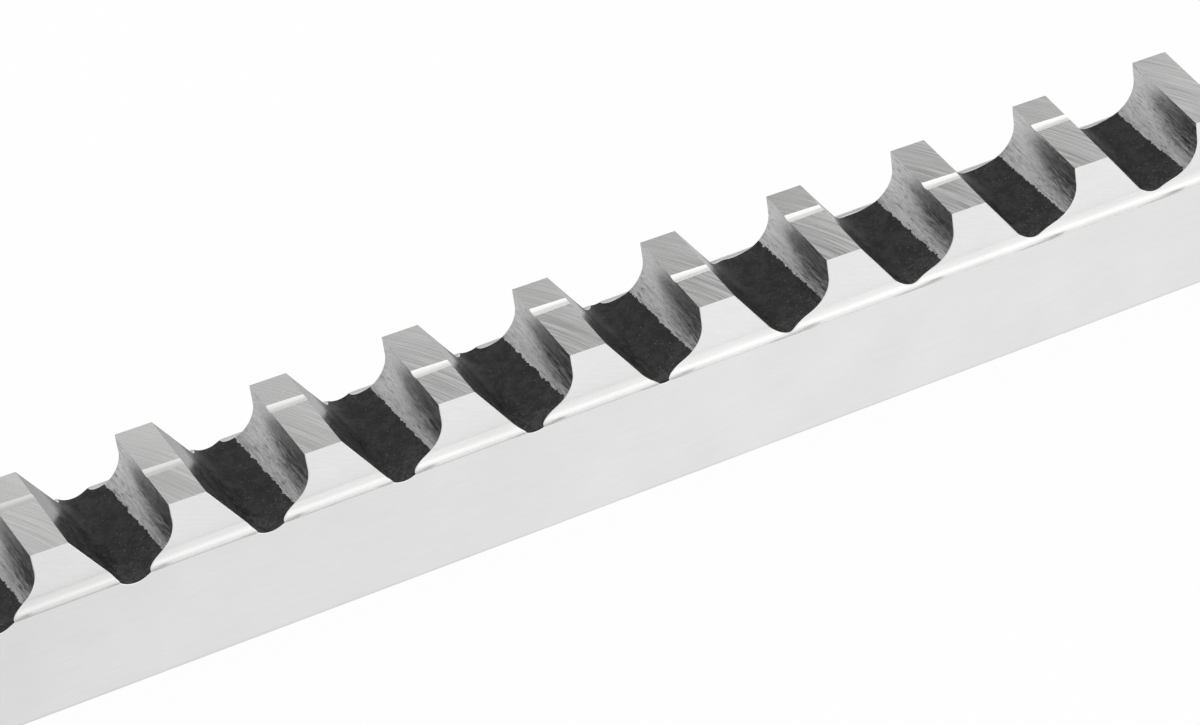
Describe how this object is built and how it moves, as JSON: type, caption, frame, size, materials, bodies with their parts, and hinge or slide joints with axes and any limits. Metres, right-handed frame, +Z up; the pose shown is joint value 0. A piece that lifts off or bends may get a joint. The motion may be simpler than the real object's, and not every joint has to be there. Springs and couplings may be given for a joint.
{
  "type": "keyway broach",
  "caption": "Straight push-type keyway broach: a rectangular steel bar with a narrower toothed ridge, staggered chip breakers, a bevelled pilot and a plain tail.",
  "frame": {"origin": "middle of the length and width, on the flat back", "axes": "+X along the bar from the pilot end to the tail, +Y across the bar, +Z up from the back to the teeth"},
  "size_m": [0.2984, 0.0096, 0.0132],
  "materials": {
    "ground_steel": "ground bright on the lands, sides and back, with black oxide left in the gullets"
  },
  "bodies": {
    "root": {"keyway_broach": "ground_steel"}
  },
  "joints": []
}
